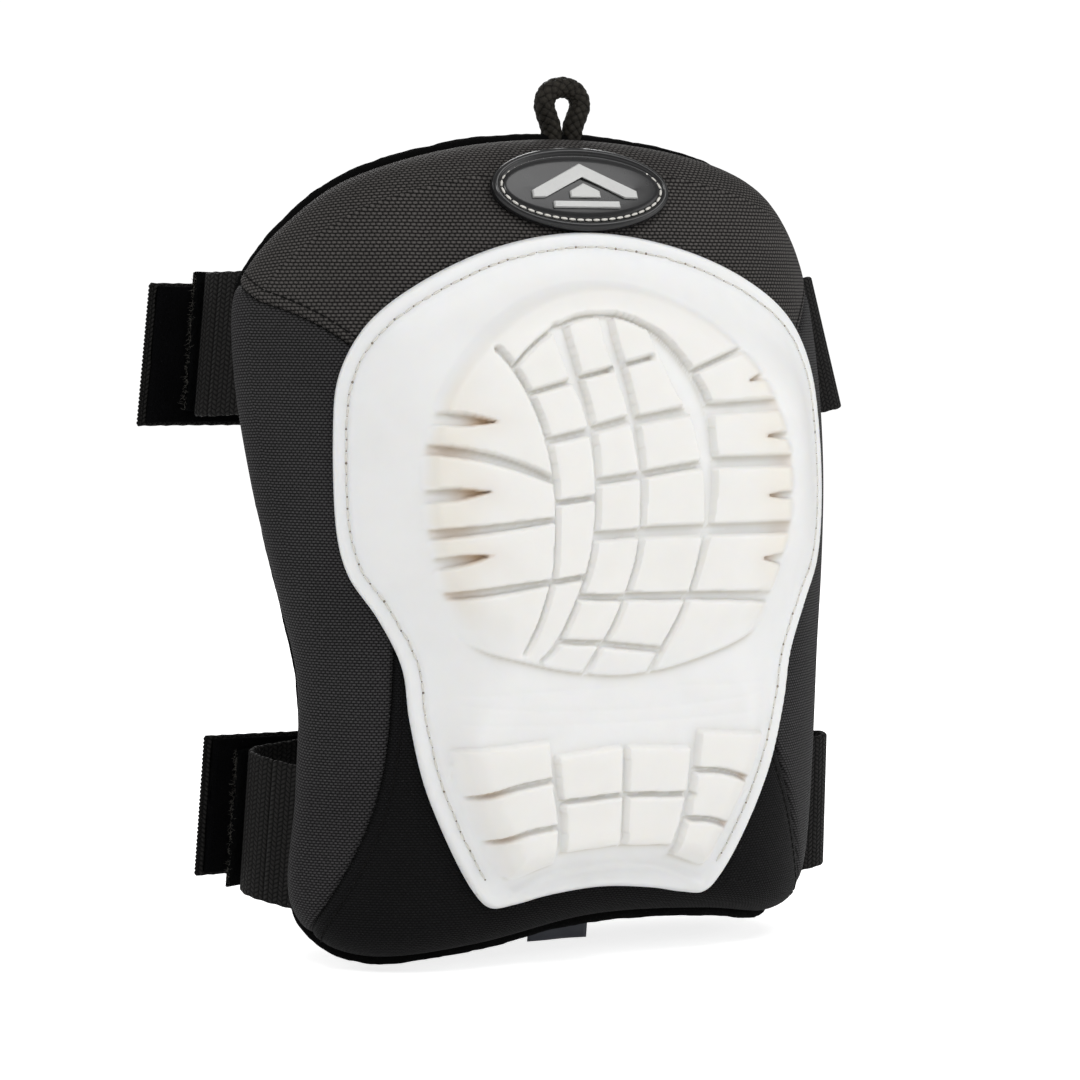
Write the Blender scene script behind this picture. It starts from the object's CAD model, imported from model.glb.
"""Looks of a knee pad: rubber cap, woven cover, soft binding and liner, webbing straps.

The helpers work in millimetres on the skin of the pad: u runs round the knee from its middle
line, v runs up the leg and h stands out from the face of the fabric.
"""

import math

import bpy
import numpy as np
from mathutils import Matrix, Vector


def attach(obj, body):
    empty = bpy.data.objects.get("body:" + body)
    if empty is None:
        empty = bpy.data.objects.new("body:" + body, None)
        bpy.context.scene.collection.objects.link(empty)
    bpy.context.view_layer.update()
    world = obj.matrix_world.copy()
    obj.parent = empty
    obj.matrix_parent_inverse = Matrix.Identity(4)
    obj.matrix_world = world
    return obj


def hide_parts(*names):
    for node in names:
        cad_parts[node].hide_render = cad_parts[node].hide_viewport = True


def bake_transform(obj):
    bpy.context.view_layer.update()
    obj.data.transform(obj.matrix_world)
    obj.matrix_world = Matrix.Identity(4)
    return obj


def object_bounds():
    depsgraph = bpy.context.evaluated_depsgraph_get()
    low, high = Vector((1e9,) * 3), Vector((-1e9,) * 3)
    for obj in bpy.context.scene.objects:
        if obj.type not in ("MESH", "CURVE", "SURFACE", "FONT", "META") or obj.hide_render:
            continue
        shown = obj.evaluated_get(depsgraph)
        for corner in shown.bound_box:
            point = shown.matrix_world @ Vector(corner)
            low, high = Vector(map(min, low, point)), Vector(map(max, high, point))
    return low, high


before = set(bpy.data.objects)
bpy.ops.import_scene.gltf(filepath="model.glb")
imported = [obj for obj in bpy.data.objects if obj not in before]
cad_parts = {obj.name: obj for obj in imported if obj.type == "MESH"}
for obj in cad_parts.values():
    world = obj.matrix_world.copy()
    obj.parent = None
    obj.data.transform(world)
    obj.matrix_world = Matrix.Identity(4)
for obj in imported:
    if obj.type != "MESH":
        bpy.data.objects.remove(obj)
cad_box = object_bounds()
scene = bpy.context.scene
rng = np.random.default_rng(7)

MM = 0.001

# ---- the skin of the pad ------------------------------------------------------------------------
WRAP_TILT = math.radians(66)
WRAP_HALF = 69.5
WRAP_POWER = 4.4
WRAP_LENGTH = 160
KNEE_V = 10
CURL_UP = 0.0025
CURL_DOWN = 0.0007
LINER_FACE = -17.6
SHIFT = np.array([0, LINER_FACE, -KNEE_V])
MIDDLE = np.array([0, KNEE_V], float)


def tilt(u):
    return WRAP_TILT / (1 + (WRAP_HALF / np.maximum(np.abs(u), 1e-3)) ** WRAP_POWER)


_turns = tilt(np.arange(WRAP_LENGTH) + 0.5)
WRAP_X = np.concatenate([[0], np.cumsum(np.cos(_turns))])
WRAP_Y = np.concatenate([[0], np.cumsum(np.sin(_turns))])


def place(u, v, h):
    """Points of the skin at (u, v), h in front of it, in millimetres."""
    u, v, h = np.broadcast_arrays(*(np.asarray(a, float) for a in (u, v, h)))
    steps = np.arange(WRAP_LENGTH + 1)
    x = np.interp(np.abs(u), steps, WRAP_X)
    y = np.interp(np.abs(u), steps, WRAP_Y)
    curl = np.where(v > KNEE_V, CURL_UP, CURL_DOWN)
    slope = 2 * curl * (v - KNEE_V)
    side, turn = np.sign(u), tilt(u)
    out = np.stack([side * np.sin(turn), -np.cos(turn), slope * np.cos(turn)], -1)
    out /= np.linalg.norm(out, axis=-1, keepdims=True)
    point = np.stack([side * x, y + curl * (v - KNEE_V) ** 2, v], -1)
    return point + out * h[..., None] + SHIFT


def smooth(t):
    c = np.clip(t, 0, 1)
    return c * c * (3 - 2 * c)


def lerp(a, b, t):
    return a + (b - a) * t


def bump_at(distance, width):
    return np.exp(-((distance / width) ** 2))


# ---- outlines -----------------------------------------------------------------------------------
PAD_SIDE = [(107.8, -75), (109, -39), (117.3, -12), (127.4, 22), (131.5, 55), (128, 80),
            (118.2, 91.5), (101, 104.2), (79, 116.5), (40, 128)]
PAD_RIGHT = [(0, -116), (40, -116.7), (79, -121), (97, -119), (107.5, -109), *PAD_SIDE, (0, 132)]
PAD_LEFT = [(40, -122.5), (79, -125), (97, -120), (107.5, -109.5), *PAD_SIDE]
PAD_SHIFT = 1.5
CAP_HALF = [(0, -101.4), (18, -103), (28, -105), (36, -105.5), (42, -99.7), (56.8, -70),
            (62.6, -48), (65.2, -32), (72.2, -18), (81.5, -5), (85.2, 8), (85.3, 38),
            (82.5, 53), (73, 67.7), (56, 80.3), (30.5, 91.2), (0, 95.8)]
CAP_SHIFT = -0.8


def catmull(p, closed, steps):
    """Centripetal Catmull-Rom curve through points, steps to a span."""
    p = np.asarray(p, float)
    if closed:
        a, b, c, d = np.roll(p, 1, 0), p, np.roll(p, -1, 0), np.roll(p, -2, 0)
    else:
        full = np.vstack([2 * p[0] - p[1], p, 2 * p[-1] - p[-2]])
        a, b, c, d = full[:-3], full[1:-2], full[2:-1], full[3:]
    gap = [np.maximum(np.linalg.norm(n - m, axis=1), 1e-9)[:, None] ** 0.5
           for m, n in ((a, b), (b, c), (c, d))]
    ta = ((b - a) / gap[0] - (c - a) / (gap[0] + gap[1]) + (c - b) / gap[1]) * gap[1]
    tb = ((c - b) / gap[1] - (d - b) / (gap[1] + gap[2]) + (d - c) / gap[2]) * gap[1]
    t = np.linspace(0, 1, steps, endpoint=False)[None, :, None]
    b, c, ta, tb = (x[:, None] for x in (b, c, ta, tb))
    line = b + ta * t + (3 * (c - b) - 2 * ta - tb) * t**2 + (2 * (b - c) + ta + tb) * t**3
    line = line.reshape(-1, p.shape[1])
    return line if closed else np.vstack([line, p[-1]])


def respaced(line, count, closed=False):
    """count points evenly spaced along a line."""
    line = np.vstack([line, line[:1]]) if closed else np.asarray(line, float)
    run = np.concatenate([[0], np.cumsum(np.linalg.norm(np.diff(line, axis=0), axis=1))])
    at = np.linspace(0, run[-1], count, endpoint=not closed)
    return np.stack([np.interp(at, run, line[:, k]) for k in range(line.shape[1])], -1)


def ring(right, left, shift):
    """Closed outline through a right side and a mirrored left side, in even steps."""
    points = np.vstack([right, np.array(left, float)[::-1] * (-1, 1)])
    return respaced(catmull(points, True, 40), 720, closed=True) + (shift, 0)


PAD_RING = ring(PAD_RIGHT, PAD_LEFT, PAD_SHIFT)
CAP_RING = ring(CAP_HALF, CAP_HALF[1:-1], CAP_SHIFT)


def along(points, t):
    """The point of a ring at share t of its length."""
    at = (np.asarray(t, float) % 1) * len(points)
    i = np.floor(at).astype(int)
    return lerp(points[i % len(points)], points[(i + 1) % len(points)], (at - i)[..., None])


def share_near(points, target):
    return np.argmin(np.linalg.norm(points - target, axis=1)) / len(points)


def inward(p, distance):
    """Points moved inwards, towards the middle of the knee."""
    reach = np.linalg.norm(p - MIDDLE, axis=-1, keepdims=True)
    return lerp(p, MIDDLE, np.minimum(np.asarray(distance, float)[..., None] / reach, 1))


def inset_of(p, points):
    """Distance of each point from a closed outline, positive inside, and the way outwards."""
    gap = np.empty(len(p))
    way = np.empty((len(p), 2))
    edge = np.roll(points, -1, 0) - points
    for start in range(0, len(p), 4000):
        q = p[start:start + 4000]
        near = np.argmin(((q[:, None] - points[None]) ** 2).sum(-1), 1)
        best = np.full(len(q), 1e9)
        for i in ((near - 1) % len(points), near):
            t = ((q - points[i]) * edge[i]).sum(1) / (edge[i] ** 2).sum(1)
            foot = points[i] + edge[i] * np.clip(t, 0, 1)[:, None]
            d = np.linalg.norm(q - foot, axis=1)
            cross = edge[i][:, 0] * (q - points[i])[:, 1] - edge[i][:, 1] * (q - points[i])[:, 0]
            better = d < best
            best = np.where(better, d, best)
            normal = np.stack([edge[i][:, 1], -edge[i][:, 0]], -1)
            normal /= np.linalg.norm(normal, axis=1, keepdims=True)
            rows = np.nonzero(better)[0]
            gap[start + rows] = (np.sign(cross) * d)[rows]
            way[start + rows] = normal[rows]
    return gap, way


def beside_span(p, a, b):
    """Share along the span from a to b nearest to each point, and distance and way from there."""
    edge = b - a
    t = np.clip(((p - a) @ edge) / (edge @ edge), 0, 1)
    off = p - (a + t[:, None] * edge)
    d = np.linalg.norm(off, axis=1)
    return t, d, off / np.maximum(d, 1e-6)[:, None]


def line_field(p, line, widths):
    """How far points lie inside a stroke of changing width: positive inside, with gradient."""
    best = np.full(len(p), -1e9)
    way = np.zeros((len(p), 2))
    for a, b, wa, wb in zip(line[:-1], line[1:], widths[:-1], widths[1:]):
        t, d, away = beside_span(p, a, b)
        value = lerp(wa, wb, t) / 2 - d
        better = value > best
        best = np.where(better, value, best)
        way[better] = -away[better]
    return best, way


def polygon_field(p, corners):
    """Distance inside a polygon, positive inside, with gradient."""
    corners = np.asarray(corners, float)
    best = np.full(len(p), 1e9)
    way = np.zeros((len(p), 2))
    inside = np.zeros(len(p), bool)
    for a, b in zip(corners, np.roll(corners, -1, 0)):
        _, d, away = beside_span(p, a, b)
        better = d < best
        best = np.where(better, d, best)
        way[better] = away[better]
        edge = b - a
        crosses = (a[1] > p[:, 1]) != (b[1] > p[:, 1])
        x = a[0] + (p[:, 1] - a[1]) * edge[0] / (edge[1] if abs(edge[1]) > 1e-9 else 1e-9)
        inside ^= crosses & (p[:, 0] < x)
    sign = np.where(inside, 1, -1)
    return best * sign, way * sign[:, None]


# ---- meshes -------------------------------------------------------------------------------------
def new_mesh(name, points, faces, skin=None, flat=False, **marks):
    """Mesh object from points in millimetres. skin is what the material's pattern runs on."""
    mesh = bpy.data.meshes.new(name)
    mesh.from_pydata((np.asarray(points, float) * MM).tolist(), [], [list(f) for f in faces])
    if skin is not None:
        skin = np.asarray(skin, float)
        if skin.shape[1] == 2:
            skin = np.hstack([skin, np.zeros((len(skin), 1))])
        layer = mesh.attributes.new("skin", "FLOAT_VECTOR", "POINT")
        layer.data.foreach_set("vector", skin.astype(np.float32).ravel())
    for key, values in marks.items():
        layer = mesh.attributes.new(key, "FLOAT", "POINT")
        layer.data.foreach_set("value", np.asarray(values, np.float32))
    mesh.polygons.foreach_set("use_smooth", [not flat] * len(mesh.polygons))
    mesh.update()
    obj = bpy.data.objects.new(name, mesh)
    scene.collection.objects.link(obj)
    return obj


def grid_faces(rows, cols, wrap=False, first=0):
    i, j = np.meshgrid(np.arange(rows - 1), np.arange(cols if wrap else cols - 1), indexing="ij")
    k = (j + 1) % cols
    quads = np.stack([i * cols + j, i * cols + k, (i + 1) * cols + k, (i + 1) * cols + j], -1)
    return (quads.reshape(-1, 4) + first).tolist()


def facing_out(obj, away_from):
    """Turns the faces round if most of them face a point."""
    mesh = obj.data
    centre = Vector(away_from)
    total = sum(p.normal.dot(p.center - centre) * p.area for p in mesh.polygons)
    if total < 0:
        mesh.flip_normals()
    return obj


def lids(first, last, sides):
    """Faces that close a tube at its first and its last ring."""
    return [list(range(first, first + sides))[::-1], list(range(last, last + sides))]


def tube_sections(line, radius, sides, start_up):
    """Rings round a line, each at right angles to it."""
    line = np.asarray(line, float)
    run = np.gradient(line, axis=0)
    run /= np.linalg.norm(run, axis=1, keepdims=True)
    up = np.array(start_up, float)
    angle = 2 * np.pi * np.arange(sides)[:, None] / sides
    sections = []
    for here, ahead, r in zip(line, run, np.broadcast_to(radius, len(line))):
        up = up - ahead * (up @ ahead)
        up /= np.linalg.norm(up)
        aside = np.cross(ahead, up)
        sections.append(here + r * (np.cos(angle) * aside + np.sin(angle) * up))
    return np.array(sections)


def capped_tubes(name, sections_list, closed=False):
    """One mesh of several tubes. Each has lids, or joins its own start where closed."""
    points, faces, first = [], [], 0
    for sections in sections_list:
        rows, sides = sections.shape[:2]
        flat = sections.reshape(-1, 3)
        last = first + (rows - 1) * sides
        faces += [f[::-1] for f in grid_faces(rows, sides, True, first)]
        if closed:
            faces += [[first + j, first + (j + 1) % sides, last + (j + 1) % sides, last + j]
                      for j in range(sides)]
        else:
            faces += [f[::-1] for f in lids(first, last, sides)]
        points.append(flat)
        first += len(flat)
    return new_mesh(name, np.vstack(points), faces)


def clipped_grid(outline, cell):
    """Points of a grid inside an outline, their inset and the faces.

    Points beside the outline are moved on to it.
    """
    low, high = outline.min(0) - cell, outline.max(0) + cell
    us = np.arange(low[0], high[0] + cell, cell)
    vs = np.arange(low[1], high[1] + cell, cell)
    grid = np.stack(np.meshgrid(us, vs, indexing="ij"), -1).reshape(-1, 2)
    inset, way = inset_of(grid, outline)
    beside = np.abs(inset) < cell / 2
    grid[beside] += way[beside] * inset[beside, None]
    inset[beside] = 0
    keep = inset >= 0
    index = np.full(len(grid), -1)
    index[keep] = np.arange(keep.sum())
    quads = np.array(grid_faces(len(us), len(vs)))
    corners = index[quads]
    whole = (corners >= 0).all(1)
    three = (corners >= 0).sum(1) == 3
    faces = corners[whole].tolist()
    faces += [[c for c in f if c >= 0] for f in corners[three].tolist()]
    return grid[keep], inset[keep], faces


def rim_loop(faces):
    """The open edge of a face list, as one ring of point numbers in order."""
    edges = {(a, b) for f in faces for a, b in zip(f, f[1:] + f[:1])}
    follow = {a: b for a, b in edges if (b, a) not in edges}
    start = max(follow)
    loop, here = [start], follow[start]
    while here != start and len(loop) <= len(follow):
        loop.append(here)
        here = follow[here]
    return loop


# ---- materials ----------------------------------------------------------------------------------
def srgb(r, g, b):
    """Linear colour of an sRGB colour given as 0 to 255."""
    return tuple((c / 255 / 12.92) if c <= 10.31 else ((c / 255 + 0.055) / 1.055) ** 2.4
                 for c in (r, g, b)) + (1.0,)


class Field:
    """A value that changes over a surface, with arithmetic that makes shader nodes."""

    def __init__(self, tree, socket):
        self.tree = tree
        self.socket = socket

    def math(self, operation, *others, clamp=False):
        node = self.tree.nodes.new("ShaderNodeMath")
        node.operation = operation
        node.use_clamp = clamp
        for i, x in enumerate((self, *others)):
            if isinstance(x, Field):
                self.tree.links.new(x.socket, node.inputs[i])
            else:
                node.inputs[i].default_value = x
        return Field(self.tree, node.outputs[0])

    def __add__(self, x):
        return self.math("ADD", x)

    def __sub__(self, x):
        return self.math("SUBTRACT", x)

    def __mul__(self, x):
        return self.math("MULTIPLY", x)

    def __truediv__(self, x):
        return self.math("DIVIDE", x)

    def __pow__(self, x):
        return self.math("POWER", x)

    def flip(self):
        """1 minus the value."""
        return (self * -1.0) + 1.0

    def floor(self):
        return self.math("FLOOR")

    def fract(self):
        return self.math("FRACT")

    def abs(self):
        return self.math("ABSOLUTE")

    def odd(self):
        """1 where the whole number is odd, 0 where it is even."""
        return (self * 0.5).fract() * 2.0

    def clamp(self):
        return self.math("ADD", 0.0, clamp=True)

    def crown(self):
        """1 in the middle of each unit and 0 at its ends."""
        centred = (self.fract() - 0.5) * 2.0
        return (centred * centred).flip()


class Paint:
    """One procedural material."""

    def __init__(self, name, **constants):
        self.material = bpy.data.materials.new(name)
        self.material.use_nodes = True
        self.tree = self.material.node_tree
        self.shader = next(n for n in self.tree.nodes if n.type == "BSDF_PRINCIPLED")
        for key, value in constants.items():
            self.shader.inputs[key.replace("_", " ")].default_value = value

    def part(self, name):
        """The parts x, y and z of a mesh attribute."""
        node = self.tree.nodes.new("ShaderNodeAttribute")
        node.attribute_name = name
        split = self.tree.nodes.new("ShaderNodeSeparateXYZ")
        self.tree.links.new(node.outputs["Vector"], split.inputs[0])
        return [Field(self.tree, s) for s in split.outputs]

    def mark(self, name):
        """A number that a mesh attribute holds."""
        node = self.tree.nodes.new("ShaderNodeAttribute")
        node.attribute_name = name
        return Field(self.tree, node.outputs["Fac"])

    def noise(self, scale, detail, kind="ShaderNodeTexNoise"):
        """Noise in the object's own space, about 0 to 1; scale is in features to a metre."""
        coords = self.tree.nodes.new("ShaderNodeTexCoord")
        node = self.tree.nodes.new(kind)
        node.inputs["Scale"].default_value = scale
        if "Detail" in node.inputs:
            node.inputs["Detail"].default_value = detail
        self.tree.links.new(coords.outputs["Object"], node.inputs["Vector"])
        return Field(self.tree, node.outputs[0])

    def mixed(self, share, *colours):
        """Colour that runs through the colours as share goes from 0 to 1."""
        node = self.tree.nodes.new("ShaderNodeValToRGB")
        ramp = node.color_ramp
        while len(ramp.elements) < len(colours):
            ramp.elements.new(0.5)
        for i, colour in enumerate(colours):
            ramp.elements[i].position = i / (len(colours) - 1)
            ramp.elements[i].color = colour
        self.tree.links.new(share.socket, node.inputs[0])
        return node.outputs[0]

    def blend(self, share, a, b):
        """Colour a where share is 0 and colour b where it is 1; each is a socket or a colour."""
        node = self.tree.nodes.new("ShaderNodeMix")
        node.data_type = "RGBA"
        self.tree.links.new(share.socket, node.inputs[0])
        for i, colour in ((6, a), (7, b)):
            if isinstance(colour, tuple):
                node.inputs[i].default_value = colour
            else:
                self.tree.links.new(colour, node.inputs[i])
        return node.outputs[2]

    def colour(self, socket):
        self.tree.links.new(socket, self.shader.inputs["Base Color"])

    def roughness(self, field):
        self.tree.links.new(field.socket, self.shader.inputs["Roughness"])

    def bump(self, height, depth, strength):
        """Bump of that depth in millimetres where height goes from 0 to 1."""
        node = self.tree.nodes.new("ShaderNodeBump")
        node.inputs["Distance"].default_value = depth * MM
        node.inputs["Strength"].default_value = strength
        self.tree.links.new(height.socket, node.inputs["Height"])
        self.tree.links.new(node.outputs[0], self.shader.inputs["Normal"])


def paint(obj, what):
    obj.data.materials.clear()
    obj.data.materials.append(what.material)


def rubber_paint():
    """Milky moulded rubber, yellowed at the tips of the notches."""
    p = Paint("cap_rubber", Roughness=0.42, Subsurface_Weight=0.35, Subsurface_Scale=0.004,
              Specular_IOR_Level=0.4, IOR=1.45)
    p.shader.inputs["Subsurface Radius"].default_value = (1.0, 0.85, 0.65)
    cloud = p.noise(45, 3)
    fine = p.noise(900, 2)
    base = p.mixed(cloud, srgb(238, 238, 236), srgb(246, 246, 245), srgb(241, 241, 239))
    warm = p.blend(p.mark("cream").clamp(), base, srgb(238, 230, 214))
    deep = p.blend(p.mark("shade").clamp(), warm, srgb(190, 182, 158))
    p.colour(p.blend(p.mark("tint").clamp(), deep, srgb(190, 150, 98)))
    p.roughness(fine * 0.12 + 0.36)
    p.bump(fine + cloud * 2.0, 0.05, 0.5)
    return p


def cloth_paint(name, dark, light, pitch, depth):
    """Nylon cloth: rows of short floats, every other row half a float along."""
    p = Paint(name, Sheen_Weight=0.02, Sheen_Roughness=0.4, Specular_IOR_Level=0.08)
    u, v, _ = p.part("skin")
    wobble = p.noise(60, 2) * 0.5
    rows = v / pitch[1] + wobble
    lanes = u / pitch[0] + rows.floor().odd() * 0.5
    lump = (lanes.crown().clamp() ** 0.45) * (rows.crown().clamp() ** 0.7)
    strands = (rows * 3.0).crown() * 0.16 + 1.0
    grain = p.noise(1400, 2)
    cloud = p.noise(28, 3)
    tone = ((lump ** 2.0) * (cloud * 0.6 + 0.7) * (grain * 1.2 + 0.45)).clamp()
    p.colour(p.mixed(tone, dark, light))
    p.roughness(lump * -0.14 + 0.74)
    p.bump(lump * strands, depth, 0.9)
    return p


def webbing_paint():
    """Herringbone webbing: slanted stitches, leaning the other way in every other column."""
    p = Paint("webbing", Roughness=0.6, Sheen_Weight=0.03, Sheen_Roughness=0.5,
              Specular_IOR_Level=0.06)
    s, w, _ = p.part("skin")
    columns = s / 1.85
    lean = columns.floor().odd() * -2.0 + 1.0
    rows = w / 1.5 + columns.fract() * lean * 0.62
    stitch = (columns.crown().clamp() ** 0.5) * (rows.crown().clamp() ** 0.75)
    grain = p.noise(1300, 2)
    tone = ((stitch ** 1.4) * (grain * 0.8 + 0.6)).clamp()
    p.colour(p.mixed(tone, srgb(2, 2, 2), srgb(38, 37, 36)))
    p.roughness(stitch * -0.12 + 0.72)
    p.bump(stitch, 0.42, 1.0)
    return p


def pile_paint(name, dark, light, scale, depth):
    """Short pile or felt."""
    p = Paint(name, Roughness=0.9, Specular_IOR_Level=0.03)
    pile = p.noise(scale, 3)
    dots = p.noise(scale * 1.7, 1, kind="ShaderNodeTexVoronoi")
    cloud = p.noise(60, 2)
    tone = (pile * 0.7 + cloud * 0.5 - 0.15).clamp()
    p.colour(p.mixed(tone, dark, light))
    p.bump(pile + dots * 0.5, depth, 0.9)
    return p


def knit_paint(name, dark, light, pitch):
    """Warp-knit jersey: columns of small loops."""
    p = Paint(name, Roughness=0.88, Sheen_Weight=0.05, Sheen_Roughness=0.5,
              Specular_IOR_Level=0.06)
    u, v, _ = p.part("skin")
    a = u / pitch
    loops = v / (pitch * 0.8) + (a.fract() - 0.5).abs()
    height = (a.crown().clamp() ** 0.6) * (loops.crown().clamp() ** 0.6)
    grain = p.noise(900, 2)
    cloud = p.noise(30, 3)
    tone = (height * (cloud * 0.6 + 0.7) * (grain * 0.6 + 0.7)).clamp()
    p.colour(p.mixed(tone, dark, light))
    p.bump(height, 0.22, 0.8)
    return p


def grain_paint(name, dark, light, rough, scale=400, depth=0.06, **more):
    """Plain stuff with a fine grain and a little variation."""
    p = Paint(name, Roughness=rough, **more)
    grain = p.noise(scale, 3)
    cloud = p.noise(scale / 12, 2)
    p.colour(p.mixed((grain * 0.4 + cloud * 0.6).clamp(), dark, light))
    p.roughness(grain * 0.2 + (rough - 0.1))
    p.bump(grain, depth, 0.6)
    return p


def foam_paint(name, dark, light):
    """Open-cell foam."""
    p = Paint(name, Roughness=0.9, Specular_IOR_Level=0.2)
    cells = p.noise(900, 1, kind="ShaderNodeTexVoronoi")
    cloud = p.noise(40, 2)
    p.colour(p.mixed((cells * 0.9 + cloud * 0.3).clamp(), dark, light))
    p.bump(cells, 0.4, 0.8)
    return p


def strand_paint(name, dark, light, rough=0.7, braided=False):
    """Twisted thread or cord strand: fine filaments. A braid is darker where a strand dips."""
    p = Paint(name, Roughness=rough, Specular_IOR_Level=0.08)
    fibres = p.noise(1800, 3)
    cloud = p.noise(150, 2)
    tone = (fibres * 0.6 + cloud * 0.4).clamp()
    if braided:
        tone = tone * p.mark("rise") ** 2
    p.colour(p.mixed(tone, dark, light))
    p.bump(fibres, 0.1, 0.7)
    return p


RUBBER = rubber_paint()
TOP_CLOTH = cloth_paint("top_cloth", srgb(3, 3, 3), srgb(90, 87, 85), (1.72, 1.08), 0.34)
SIDE_CLOTH = cloth_paint("side_cloth", srgb(3, 3, 3), srgb(70, 69, 70), (1.45, 0.86), 0.26)
LOWER_CLOTH = cloth_paint("lower_cloth", srgb(2, 2, 2), srgb(25, 25, 26), (1.3, 0.8), 0.26)
WEBBING = webbing_paint()
HOOK = pile_paint("hook_tape", srgb(2, 2, 2), srgb(15, 15, 17), 1100, 0.5)
LOOP = pile_paint("loop_tape", srgb(2, 2, 2), srgb(17, 18, 19), 700, 0.7)
BINDING = pile_paint("binding", srgb(3, 3, 3), srgb(20, 20, 20), 1300, 0.35)
LINER = knit_paint("liner", srgb(10, 10, 11), srgb(48, 48, 51), 1.6)
BADGE = grain_paint("badge_rubber", srgb(13, 13, 14), srgb(28, 28, 29), 0.3, 260, 0.02,
                    Coat_Weight=0.7, Coat_Roughness=0.18, Specular_IOR_Level=0.15)
EMBLEM = grain_paint("emblem", srgb(176, 177, 176), srgb(214, 214, 212), 0.42, 500, 0.04,
                     Metallic=0.15)
WHITE_THREAD = strand_paint("white_thread", srgb(206, 203, 195), srgb(244, 242, 236))
DARK_THREAD = strand_paint("dark_thread", srgb(5, 5, 5), srgb(26, 25, 24))
PALE_FIBRE = strand_paint("pale_fibre", srgb(60, 59, 56), srgb(128, 126, 120))
NEEDLE_HOLE = grain_paint("needle_hole", srgb(38, 27, 20), srgb(196, 184, 168), 0.9, 260, 0.05)
CORD = strand_paint("cord", srgb(2, 2, 2), srgb(72, 68, 61), 0.5, braided=True)
LABEL = grain_paint("label_satin", srgb(17, 21, 32), srgb(30, 35, 50), 0.38, 700, 0.03,
                    Anisotropic=0.5, Sheen_Weight=0.3)
FOAM = foam_paint("foam", srgb(92, 96, 100), srgb(150, 154, 158))
GEL = grain_paint("gel", srgb(84, 140, 162), srgb(126, 176, 194), 0.25, 120, 0.05,
                  Transmission_Weight=0.3)

# ---- camera and light ---------------------------------------------------------------------------
CAMERA_AZIMUTH = math.radians(-26)
CAMERA_HEIGHT = math.radians(4)
CAMERA_REACH = 1.1
CAMERA_LENS = 122.2
CAMERA_SENSOR = 36
CAMERA_SHIFT = (-0.0676, 0.013)
back = Vector((math.sin(CAMERA_AZIMUTH) * math.cos(CAMERA_HEIGHT),
               -math.cos(CAMERA_AZIMUTH) * math.cos(CAMERA_HEIGHT), math.sin(CAMERA_HEIGHT)))
camera = bpy.data.objects.new("camera", bpy.data.cameras.new("camera"))
scene.collection.objects.link(camera)
camera.location = Vector((0, LINER_FACE * MM, -KNEE_V * MM)) + back * CAMERA_REACH
camera.rotation_mode = "QUATERNION"
camera.rotation_quaternion = (-back).to_track_quat("-Z", "Y")
camera.data.lens = CAMERA_LENS
camera.data.sensor_width = CAMERA_SENSOR
camera.data.shift_x, camera.data.shift_y = CAMERA_SHIFT
camera.data.clip_start = 0.05
camera.data.clip_end = 60
scene.camera = camera


def area_light(name, location, target, size, power):
    light = bpy.data.lights.new(name, "AREA")
    light.shape = "DISK"
    light.size = size
    light.energy = power
    obj = bpy.data.objects.new(name, light)
    scene.collection.objects.link(obj)
    obj.location = location
    obj.rotation_mode = "QUATERNION"
    obj.rotation_quaternion = (Vector(target) - Vector(location)).to_track_quat("-Z", "Y")


def brighter_when_seen(tree, socket, light, seen):
    """The backdrop shows whiter than the light that it throws on the object."""
    ray = tree.nodes.new("ShaderNodeLightPath")
    amount = tree.nodes.new("ShaderNodeMapRange")
    amount.inputs["To Min"].default_value = light
    amount.inputs["To Max"].default_value = seen
    tree.links.new(ray.outputs["Is Camera Ray"], amount.inputs["Value"])
    tree.links.new(amount.outputs[0], socket)


FLOOR_HALF = 4000
FLOOR_BELOW = 2  # the floor lies this far under the lowest point


def studio():
    low = cad_box[0].z / MM - FLOOR_BELOW
    corners = [(x, y, low) for x, y in ((-FLOOR_HALF, -FLOOR_HALF), (FLOOR_HALF, -FLOOR_HALF),
                                        (FLOOR_HALF, FLOOR_HALF), (-FLOOR_HALF, FLOOR_HALF))]
    floor = new_mesh("floor", corners, [[0, 1, 2, 3]])
    stuff = grain_paint("floor", srgb(250, 250, 250), srgb(253, 253, 253), 0.9, 20, 0.0)
    stuff.shader.inputs["Emission Color"].default_value = (1, 1, 1, 1)
    brighter_when_seen(stuff.tree, stuff.shader.inputs["Emission Strength"], 0.12, 0.72)
    paint(floor, stuff)
    area_light("key", (-0.7, -1.2, 1.4), (0, 0, 0.02), 0.6, 8)
    area_light("fill", (1.3, -1.0, 0.35), (0, 0, 0), 0.9, 3.2)
    area_light("rim", (-1.1, 0.7, 0.5), (0, 0, 0), 0.8, 3)
    area_light("top", (0.36, -0.72, 1.15), (0, 0, 0.05), 0.75, 4.6)
    area_light("back", (0.35, 1.25, 0.75), (0, 0.03, 0), 0.8, 6)
    world = bpy.data.worlds.new("studio")
    scene.world = world
    world.use_nodes = True
    tree = world.node_tree
    shade = next(n for n in tree.nodes if n.type == "BACKGROUND")
    shade.inputs["Color"].default_value = (1, 1, 1, 1)
    brighter_when_seen(tree, shade.inputs["Strength"], 0.4, 1.05)
    scene.view_settings.view_transform = "Standard"


studio()

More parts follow.
